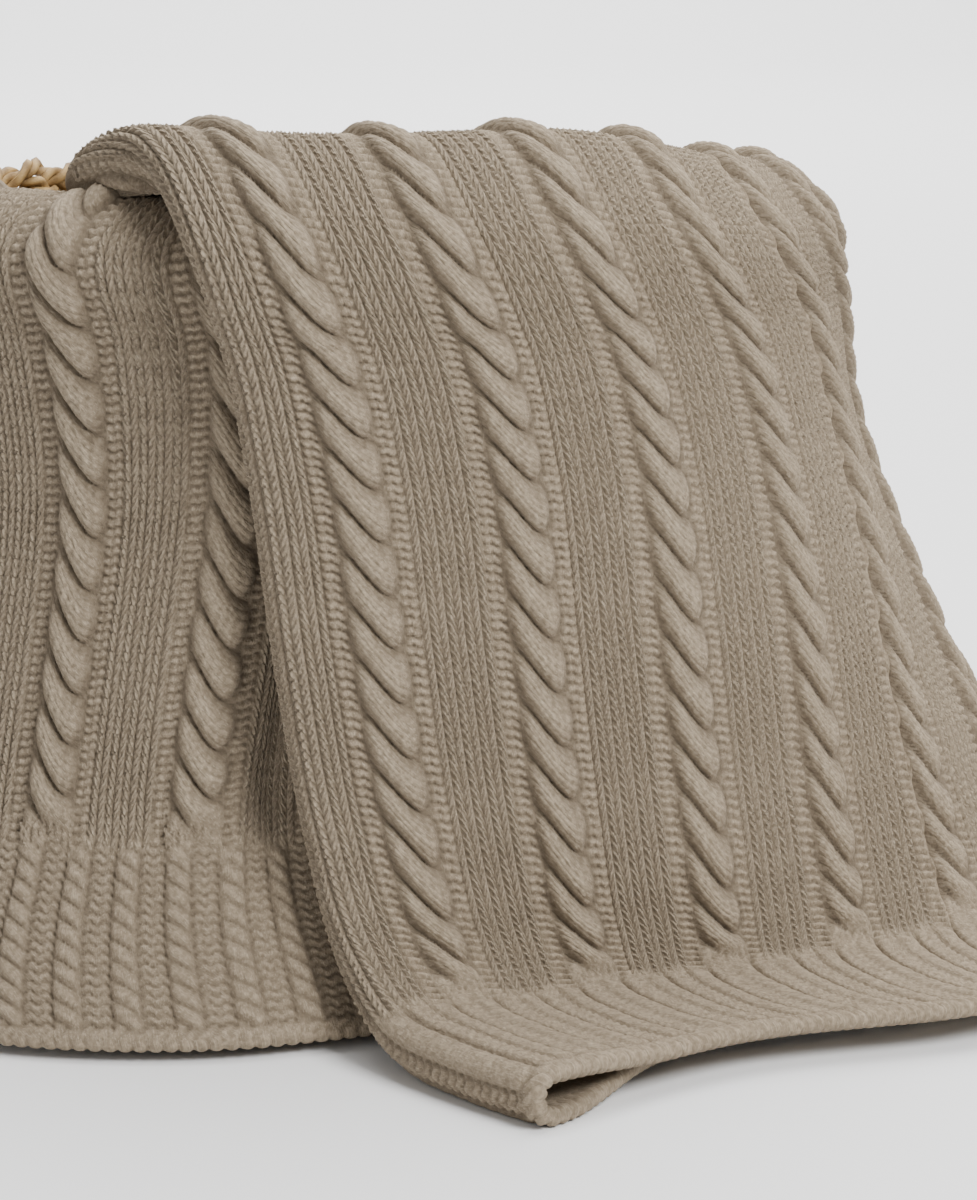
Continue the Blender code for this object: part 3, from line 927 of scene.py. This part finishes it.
@dataclass
class Blanket:
    """The knitted blanket: the whole cloth, and the close-knit faces that show."""

    node: str = "blanket"
    drape: Drape = field(default_factory=Drape)
    knitting: Knitting = field(default_factory=Knitting)
    face_dip: float = 0.0019
    tuck: float = 0.0035
    under_lines: int = 68
    fold_lines: int = 9
    upper_lines: int = 72
    along_lines: int = 140
    patches: tuple[Patch, ...] = (
        Patch(
            "right_end_by_the_fold", (-0.034, 0.126), (0.985, LENGTH), (4, 0.0011),
            (Edge.TUCK, Edge.OPEN, Edge.TUCK, Edge.ROLL),
        ),
        Patch(
            "right_end_middle", (0.126, 0.290), (0.985, LENGTH), (4, 0.0011),
            (Edge.OPEN, Edge.OPEN, Edge.TUCK, Edge.ROLL),
        ),
        Patch(
            "right_end_side", (0.290, UPPER_WIDTH), (0.985, LENGTH), (3, 0.0011),
            (Edge.OPEN, Edge.ROLL, Edge.TUCK, Edge.ROLL),
        ),
        Patch(
            "right_end_under_hem", (-0.300, -0.028), (1.440, LENGTH), (2, 0.0015),
            (Edge.TUCK, Edge.TUCK, Edge.TUCK, Edge.ROLL),
        ),
        Patch(
            "left_end_front", (-0.420, -0.230), (0.0, 0.376), (4, 0.00115),
            (Edge.TUCK, Edge.OPEN, Edge.ROLL, Edge.TUCK),
        ),
        Patch(
            "left_end_side", (-0.230, 0.030), (0.0, 0.376), (2, 0.0015),
            (Edge.OPEN, Edge.TUCK, Edge.ROLL, Edge.TUCK),
        ),
        Patch(
            "inside_left", (-UNDER_WIDTH, 0.020), (0.374, 0.620), (1.3, 0.0026),
            (Edge.ROLL, Edge.TUCK, Edge.TUCK, Edge.TUCK), 0.35,
        ),
        Patch(
            "inside_right", (-0.020, UPPER_WIDTH), (0.680, 0.987), (1.3, 0.0026),
            (Edge.TUCK, Edge.ROLL, Edge.TUCK, Edge.TUCK), 0.35,
        ),
    )

    def cloth(self) -> bpy.types.Object:
        """The whole cloth as a thin closed sheet, its outer face just under the close-knit faces.

        Returns:
            The piece.
        """
        under = np.linspace(-UNDER_WIDTH, -0.018, self.under_lines)
        fold = np.linspace(-0.014, 0.014, self.fold_lines)
        upper = np.linspace(0.018, UPPER_WIDTH, self.upper_lines)
        width = np.concatenate([under, fold, upper])
        ends = np.arange(0.0, 0.030, 0.003)
        middle = np.linspace(0.030, LENGTH - 0.030, self.along_lines)
        along = np.concatenate([ends, middle, LENGTH - ends[::-1]])
        point, outward = self.drape.place(width, along)
        outer = point + outward * (HALF_CLOTH - self.face_dip)
        fold_end = self.under_lines + self.fold_lines
        last = len(width) - 1
        # inside: every fourth line, each one at the fold, and the last line twice
        spare = np.r_[0 : self.under_lines : 4, fold_end + 3 : last + 1 : 4, last]
        few = np.sort(np.append(spare, np.arange(self.under_lines, fold_end)))
        every = np.unique(np.r_[0:len(along):2, len(along) - 1])
        inner = (point - outward * HALF_CLOTH)[np.ix_(few, every)]
        rows, cols = len(width), len(along)
        start = rows * cols
        points = np.concatenate([outer.reshape(-1, 3), inner.reshape(-1, 3)])
        points[:, 2] = np.maximum(points[:, 2], FLOOR_GAP)
        faces = [tuple(q) for q in grid_quads(rows, cols).tolist()]
        inside = grid_quads(len(few), len(every), start)[:, ::-1]
        faces += [tuple(q) for q in inside.tolist()]
        number = start + np.arange(len(few) * len(every)).reshape(len(few), len(every))
        outside = np.arange(start).reshape(rows, cols)
        faces += self._close(outside[0], number[0], along, along[every], True)
        faces += self._close(outside[-1], number[-1], along, along[every], False)
        faces += self._close(outside[:, 0], number[:, 0], width, width[few], False)
        faces += self._close(outside[:, -1], number[:, -1], width, width[few], True)
        mesh = bpy.data.meshes.new("blanket_cloth")
        mesh.from_pydata(points.tolist(), [], faces)
        mesh.shade_smooth()
        made = bpy.data.objects.new("blanket_cloth", mesh)
        bpy.context.scene.collection.objects.link(made)
        grid_w, grid_s = np.meshgrid(width, along, indexing="ij")
        flat = np.stack([grid_w, grid_s], axis=-1)
        inner_flat = flat[np.ix_(few, every)].reshape(-1, 2)
        write_uv(made, np.concatenate([flat.reshape(-1, 2), inner_flat]))
        # the plain cloth takes an even share of the painted shade
        write_value(made, "low", np.full(len(points), 0.35))
        return made

    def _close(
        self,
        first: np.ndarray,
        last: np.ndarray,
        first_at: np.ndarray,
        last_at: np.ndarray,
        flip: bool,
    ) -> list[tuple[int, ...]]:
        """Triangles between two rows of points, walked by the places they stand at.

        Args:
            first: Numbers of the first row's points.
            last: Numbers of the other row's points.
            first_at: Places of the first row's points.
            last_at: Places of the other row's points.
            flip: Turn the triangles over.

        Returns:
            The triangles.
        """
        faces: list[tuple[int, ...]] = []
        i = j = 0
        while i < len(first) - 1 or j < len(last) - 1:
            if j == len(last) - 1 or (i < len(first) - 1 and first_at[i + 1] <= last_at[j + 1]):
                faces.append((int(first[i]), int(first[i + 1]), int(last[j])))
                i += 1
            else:
                faces.append((int(first[i]), int(last[j + 1]), int(last[j])))
                j += 1
        return [tuple(reversed(f)) for f in faces] if flip else faces

    def face(self, patch: Patch) -> bpy.types.Object:
        """One close-knit part of the face.

        Args:
            patch: Where it is and how close its mesh is.

        Returns:
            The piece.
        """
        width = stitch_lines(*patch.width, patch.step[0])
        start, end = patch.along
        along = np.linspace(start, end, round((end - start) / patch.step[1]) + 1)
        point, outward = self.drape.place(width, along)
        wales, courses = self.knitting.wales(width, along), self.knitting.courses(along)
        rise = self.knitting.height(wales, courses, patch.detail)
        outer = point + outward * (HALF_CLOTH + rise)[..., None]
        flat = np.stack([wales, np.broadcast_to(courses, wales.shape)], axis=-1)
        grids = (outer, point, outward, flat, self._depth(rise))
        sides = ((0, 0), (0, -1), (1, 0), (1, -1))
        for (axis, at), edge in zip(sides, patch.edges):
            if edge is not Edge.OPEN:
                grids = self._finish_edge(grids, axis, at, edge)
        outer, _, _, flat, low = grids
        outer[..., 2] = np.maximum(outer[..., 2], FLOOR_GAP)
        made = make_mesh(patch.name, outer.reshape(-1, 3), grid_quads(*outer.shape[:2]))
        write_uv(made, flat.reshape(-1, 2))
        # low is the mask of the painted shade in creases and at tucked and rolled edges
        write_value(made, "low", low.ravel())
        return made

    def _depth(self, rise: np.ndarray) -> np.ndarray:
        """How far down in the knitting each point is, in creases more than on a slope: where the
        wool gets painted shade.

        Args:
            rise: The heights of the face over the plain cloth.

        Returns:
            The depths, from 0 to 1.
        """
        rows, cols = rise.shape
        around = rise.copy()
        for step in (1, 2):
            wide = np.pad(around, step, mode="edge")
            for i in (0, step, 2 * step):
                for j in (0, step, 2 * step):
                    around = np.maximum(around, wide[i : i + rows, j : j + cols])
        below = np.clip((around - rise) / 0.0036, 0, 1) ** 1.15
        return np.clip(below * 0.95 + np.clip(-rise / 0.0030, 0, 1) * 0.25, 0, 1)

    def _finish_edge(
        self, grids: tuple[np.ndarray, ...], axis: int, end: int, edge: Edge
    ) -> tuple[np.ndarray, ...]:
        """Adds the rows of points that finish one side of a patch.

        Args:
            grids: The face's points, the cloth's middle under them, the directions out of the
                cloth, the places on the flat cloth and how deep each point lies.
            axis: 0 for a side, 1 for an end.
            end: 0 for the low one, -1 for the high one.
            edge: How it is finished.

        Returns:
            The same five grids with the new rows.
        """
        outer, point, outward, flat, _ = grids
        last, before = np.take(point, end, axis), np.take(point, 1 if end == 0 else -2, axis)
        away = last - before
        away /= np.linalg.norm(away, axis=-1, keepdims=True)
        out = np.take(outward, end, axis)
        thick = np.einsum("ik,ik->i", np.take(outer, end, axis) - last, out)[:, None]
        if edge is Edge.TUCK:
            # a tucked edge takes the painted shade in full
            rows = [last + out * (thick - self.tuck) + away * 0.0004]
            depths = [1.0]
        else:
            rows = []
            for turn in np.radians([30, 60, 90, 120, 150, 180]):
                reach = away * (thick * math.sin(turn) * 0.9)
                rows.append(last + out * (thick * math.cos(turn)) + reach)
            rows.append(rows[-1] - away * 0.006 + out * 0.0012)
            # a rolled edge takes more painted shade as it turns under
            depths = [0.0, 0.05, 0.15, 0.3, 0.45, 0.5, 0.6]
        extras = [np.stack(rows, axis)]
        for grid in (point, outward, flat):
            same = np.expand_dims(np.take(grid, end, axis), axis)
            extras.append(np.repeat(same, len(rows), axis))
        extras.append(np.stack([np.full(len(last), depth) for depth in depths], axis))
        finished = []
        for grid, extra in zip(grids, extras):
            order = (np.flip(extra, axis), grid) if end == 0 else (grid, extra)
            finished.append(np.concatenate(order, axis))
        return tuple(finished)

    def build(self) -> list[bpy.types.Object]:
        """Returns:
            Its pieces, the whole cloth first.
        """
        cloth = self.cloth()
        cloth.data.materials.append(WoolFinish().build("oatmeal_wool_cloth"))
        faces = [self.face(patch) for patch in self.patches]
        wool = WoolFinish().build("oatmeal_wool_knit")
        for made in faces:
            made.data.materials.append(wool)
        for made in [cloth, *faces]:
            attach(made, "root")
        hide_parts(self.node)
        return [cloth, *faces]


class StrandTree:
    """A Geometry Nodes tree that sweeps a round strand along a path."""

    def __init__(self, name: str) -> None:
        """Builds the tree, with the path and the strand's radius, sides and material as inputs."""
        self.tree = bpy.data.node_groups.new(name, "GeometryNodeTree")
        for label, kind in (
            ("Path", "NodeSocketGeometry"),
            ("Radius", "NodeSocketFloat"),
            ("Sides", "NodeSocketInt"),
            ("Material", "NodeSocketMaterial"),
        ):
            self.tree.interface.new_socket(label, in_out="INPUT", socket_type=kind)
        geometry = "NodeSocketGeometry"
        self.tree.interface.new_socket("Strand", in_out="OUTPUT", socket_type=geometry)

        link = self.tree.links.new
        start, finish = self._node("NodeGroupInput"), self._node("NodeGroupOutput")
        to_curve = self._node("GeometryNodeMeshToCurve")
        ring = self._node("GeometryNodeCurvePrimitiveCircle")
        keep_run, keep_turn = self._keep("run", "Length"), self._keep("turn", "Factor")
        sweep = self._node("GeometryNodeCurveToMesh")
        smooth = self._node("GeometryNodeSetShadeSmooth")
        real = self._node("GeometryNodeRealizeInstances")
        dress = self._node("GeometryNodeSetMaterial")
        link(start.outputs["Path"], to_curve.inputs[0])
        link(to_curve.outputs[0], keep_run.inputs["Geometry"])
        link(start.outputs["Radius"], ring.inputs["Radius"])
        link(start.outputs["Sides"], ring.inputs["Resolution"])
        link(ring.outputs["Curve"], keep_turn.inputs["Geometry"])
        link(keep_run.outputs["Geometry"], sweep.inputs["Curve"])
        link(keep_turn.outputs["Geometry"], sweep.inputs["Profile Curve"])
        link(sweep.outputs["Mesh"], smooth.inputs["Geometry"])
        link(smooth.outputs["Geometry"], real.inputs["Geometry"])
        link(real.outputs["Geometry"], dress.inputs["Geometry"])
        link(start.outputs["Material"], dress.inputs["Material"])
        link(dress.outputs["Geometry"], finish.inputs[0])

    def _node(self, kind: str) -> bpy.types.Node:
        """Adds one node."""
        return self.tree.nodes.new(kind)

    def _keep(self, name: str, measure: str) -> bpy.types.Node:
        """A node that stores a spline's own measure on its points.

        Args:
            name: The attribute's name.
            measure: "Length" in metres, or "Factor" from 0 to 1.

        Returns:
            The node.
        """
        made = self._node("GeometryNodeStoreNamedAttribute")
        made.data_type = "FLOAT"
        made.domain = "POINT"
        made.inputs["Name"].default_value = name
        spline = self._node("GeometryNodeSplineParameter")
        self.tree.links.new(spline.outputs[measure], made.inputs["Value"])
        return made

    def sweep(
        self,
        name: str,
        paths: list[np.ndarray],
        radius: float,
        sides: int,
        finish: bpy.types.Material,
        closed: bool,
    ) -> bpy.types.Object:
        """Sweeps strands along paths and keeps the result as a plain mesh.

        Args:
            name: The piece's name.
            paths: The points of each path.
            radius: The strand's radius.
            sides: How many sides it has.
            finish: Its material.
            closed: Join each path's end to its start.

        Returns:
            The piece.
        """
        points = np.concatenate(paths)
        edges, start = [], 0
        for path in paths:
            count = len(path)
            links = count if closed else count - 1
            edges += [(start + i, start + (i + 1) % count) for i in range(links)]
            start += count
        mesh = bpy.data.meshes.new(name + "_path")
        mesh.from_pydata(points.tolist(), edges, [])
        work = bpy.data.objects.new(name + "_path", mesh)
        bpy.context.scene.collection.objects.link(work)
        modifier = work.modifiers.new("strands", "NODES")
        modifier.node_group = self.tree
        items = [i for i in self.tree.interface.items_tree if i.in_out == "INPUT"]
        ids = {item.name: item.identifier for item in items}
        modifier[ids["Radius"]] = radius
        modifier[ids["Sides"]] = sides
        modifier[ids["Material"]] = finish
        bpy.context.view_layer.update()
        graph = bpy.context.evaluated_depsgraph_get()
        result = bpy.data.meshes.new_from_object(
            work.evaluated_get(graph), preserve_all_data_layers=True, depsgraph=graph
        )
        result.name = name
        work.modifiers.remove(modifier)
        bpy.data.objects.remove(work)
        made = bpy.data.objects.new(name, result)
        bpy.context.scene.collection.objects.link(made)
        return made


def round_path(turn: np.ndarray, radius: np.ndarray | float, z: np.ndarray | float) -> np.ndarray:
    """Points round the basket's axis.

    Args:
        turn: Their angles, from +X.
        radius: Their distance from the axis.
        z: Their heights.

    Returns:
        The points, one a row.
    """
    around = (radius * np.cos(turn), radius * np.sin(turn), z + 0 * turn)
    return np.stack(around, axis=-1)


@dataclass
class Basket:
    """The round basket of woven grass that the blanket hangs over."""

    height: float = 0.336
    top_r: float = 0.228
    foot_r: float = 0.206
    wall: float = 0.012
    stakes: int = 44
    weaver_r: float = 0.0042
    weaver_rows: int = 36
    weaver_sway: float = 0.0017
    points_per_stake: int = 3
    stake_r: float = 0.0026
    stake_points: int = 26
    stake_sway: float = 0.0022
    base_r: float = 0.0050
    base_z: float = 0.0052
    base_pitch: float = 0.0088
    base_start: float = 0.35
    base_points: int = 56
    rim_r: float = 0.218
    rim_wire_r: float = 0.0117
    rim_turns: int = 17
    rim_points: int = 640
    rim_rise: float = 0.0066
    rim_swing: float = 0.0048
    ply_r: float = 0.0027
    ply_turns: int = 52
    loop_turn: float = 2.44
    loop_reach: float = 0.15
    loop_rise: float = 0.009
    strands: StrandTree = field(default_factory=lambda: StrandTree("swept_strand"))

    def _wall_r(self, z: np.ndarray | float) -> np.ndarray | float:
        """The radius of the wall's middle at a height."""
        return self.foot_r + (self.top_r - self.foot_r) * z / self.height - self.wall / 2

    def weavers(self, finish: bpy.types.Material) -> bpy.types.Object:
        """The strands that go round, in front of one stake and behind the next."""
        top = self.height - 2 * self.rim_wire_r
        count = self.stakes * self.points_per_stake
        turn = np.arange(count) * 2 * math.pi / count
        paths = []
        for row in range(self.weaver_rows):
            rise = (top - 2 * self.weaver_r) * row / (self.weaver_rows - 1)
            z = self.weaver_r + rise
            sway = self.weaver_sway * np.cos(turn * self.stakes / 2 + math.pi * row)
            paths.append(round_path(turn, self._wall_r(z) + sway, z))
        return self.strands.sweep("basket_weavers", paths, self.weaver_r, 6, finish, True)

    def upright(self, finish: bpy.types.Material) -> bpy.types.Object:
        """The stakes that the weavers go round."""
        top = self.height - 1.5 * self.rim_wire_r
        z = np.linspace(0.004, top, self.stake_points)
        point = np.arange(self.stake_points)
        paths = []
        for stake in range(self.stakes):
            turn = np.full_like(z, (stake + 0.5) * 2 * math.pi / self.stakes)
            sway = self.stake_sway * np.where(point % 2 == stake % 2, 1.0, -1.0)
            paths.append(round_path(turn, self._wall_r(z) + sway, z))
        return self.strands.sweep("basket_stakes", paths, self.stake_r, 5, finish, False)

    def floor(self, finish: bpy.types.Material) -> bpy.types.Object:
        """The base: one strand coiled out from the middle."""
        turns = (self.foot_r - self.wall * 0.7) / self.base_pitch
        turn = np.linspace(self.base_start, turns * 2 * math.pi, int(turns * self.base_points))
        path = round_path(turn, self.base_pitch * turn / (2 * math.pi), self.base_z)
        return self.strands.sweep("basket_base", [path], self.base_r, 6, finish, False)

    def rim(self, finish: bpy.types.Material) -> bpy.types.Object:
        """The plaited rim: three strands of two twisted plies that pass over each other in turn."""
        turn = np.arange(self.rim_points) * 2 * math.pi / self.rim_points
        centre_z = self.height - self.rim_wire_r
        loop = np.exp(-(((turn - self.loop_turn) / self.loop_reach) ** 2))
        paths = []
        for strand in range(3):
            phase = self.rim_turns * turn + strand * 2 * math.pi / 3
            loose = 0.0009 * np.sin(7 * turn + 2.1 * strand) + 0.0006 * np.sin(17 * turn + strand)
            z = centre_z + self.rim_rise * np.sin(phase) + loose + self.loop_rise * loop
            radius = self.rim_r + self.rim_swing * np.sin(2 * phase) + loose
            for ply in range(2):
                twist = self.ply_turns * turn + ply * math.pi + strand
                apart = self.ply_r * 0.92
                ply_z = z + apart * np.sin(twist)
                paths.append(round_path(turn, radius + apart * np.cos(twist), ply_z))
        return self.strands.sweep("rim_plait", paths, self.ply_r, 5, finish, True)

    def build(self) -> list[bpy.types.Object]:
        """Makes and dresses the basket.

        Returns:
            Its pieces.
        """
        woven, plaited = GrassFinish().build("woven_grass"), GrassFinish().build("plaited_grass")
        body = [self.weavers(woven), self.upright(woven), self.floor(woven)]
        rim = self.rim(plaited)
        for made in body:
            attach(made, "root")
        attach(rim, "root")
        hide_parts("basket_body")
        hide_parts("basket_rim")
        return [*body, rim]


@dataclass(frozen=True)
class Lamp:
    """One square soft light that faces a point.

    Args:
        name: Its name.
        place: Where it stands.
        aim: The point that it faces.
        size: Its side.
        power: Its power in watts.
    """

    name: str
    place: tuple[float, float, float]
    aim: tuple[float, float, float]
    size: float
    power: float

    def build(self) -> None:
        """Sets it up."""
        data = bpy.data.lights.new(self.name, "AREA")
        data.size = self.size
        data.energy = self.power
        made = bpy.data.objects.new(self.name, data)
        made.location = self.place
        away = Vector(self.aim) - Vector(self.place)
        made.rotation_euler = away.to_track_quat("-Z", "Y").to_euler()
        bpy.context.scene.collection.objects.link(made)


@dataclass
class Studio:
    """The pale floor that turns up into a backdrop, the soft lights and the camera."""

    eye: tuple[float, float, float] = (0.082, -1.60, 0.50)
    pitch: float = 13.0
    focal_px: float = 3190.0
    photo: tuple[int, int] = (977, 1200)
    sensor: float = 36.0
    half_width: float = 9.0
    sweep_y: float = 6.4
    sweep_r: float = 1.2
    sweep_top: float = 3.4
    sky: float = 0.34
    lamps: tuple[Lamp, ...] = (
        Lamp("key", (1.5, -1.70, 2.0), (0.05, -0.2, 0.15), 1.1, 95.0),
        Lamp("fill", (-1.6, -2.4, 1.6), (0.0, 0.0, 0.15), 2.2, 9.0),
        Lamp("top", (0.2, 0.4, 2.6), (0.0, 0.0, 0.0), 2.2, 84.0),
        Lamp("backdrop", (0.0, 4.6, 3.4), (0.0, 4.9, 0.0), 5.6, 560.0),
    )

    def floor(self) -> None:
        """The floor and backdrop in one sweep."""
        xs = np.linspace(-self.half_width, self.half_width, 25)
        flat = [(y, 0.0) for y in (-9.0, -4.0, -1.0, 1.0, 4.0)]
        bend = []
        for turn in np.linspace(0, math.pi / 2, 14):
            y = self.sweep_y + self.sweep_r * math.sin(turn)
            bend.append((y, self.sweep_r - self.sweep_r * math.cos(turn)))
        profile = [*flat, *bend, (self.sweep_y + self.sweep_r, self.sweep_top)]
        points = np.array([[x, y, z] for x in xs for y, z in profile])
        quads = grid_quads(len(xs), len(profile))[:, ::-1]
        made = make_mesh("studio_floor", points, quads)
        made.data.materials.append(StageFinish().build("pale_floor"))

    def camera(self) -> None:
        """The camera at the photograph's place and angle."""
        data = bpy.data.cameras.new("camera")
        data.sensor_fit = "HORIZONTAL"
        data.sensor_width = self.sensor
        data.lens = self.focal_px * self.sensor / self.photo[0]
        data.clip_start, data.clip_end = 0.05, 50.0
        made = bpy.data.objects.new("camera", data)
        made.location = self.eye
        made.rotation_euler = Euler((math.radians(90.0 - self.pitch), 0.0, 0.0))
        bpy.context.scene.collection.objects.link(made)
        bpy.context.scene.camera = made

    def build(self) -> None:
        """Sets the whole stage."""
        self.floor()
        for lamp in self.lamps:
            lamp.build()
        world = bpy.data.worlds.new("studio")
        world.use_nodes = True
        sky = world.node_tree.nodes["Background"]
        sky.inputs[0].default_value = (1.0, 1.0, 1.0, 1.0)
        sky.inputs[1].default_value = self.sky
        bpy.context.scene.world = world
        self.camera()


def report(made: Sequence[bpy.types.Object]) -> None:
    """Logs each piece and its triangles."""
    for piece in made:
        count = sum(len(p.vertices) - 2 for p in piece.data.polygons)
        log.info("%s: %d triangles", piece.name, count)


def main() -> None:
    """Builds the stage, the blanket and the basket, and writes how large they are."""
    logging.basicConfig(level=logging.INFO, format="%(name)s %(message)s")
    Studio().build()
    report(Blanket().build())
    report(Basket().build())
    bpy.context.view_layer.update()


if __name__ == "__main__":
    main()
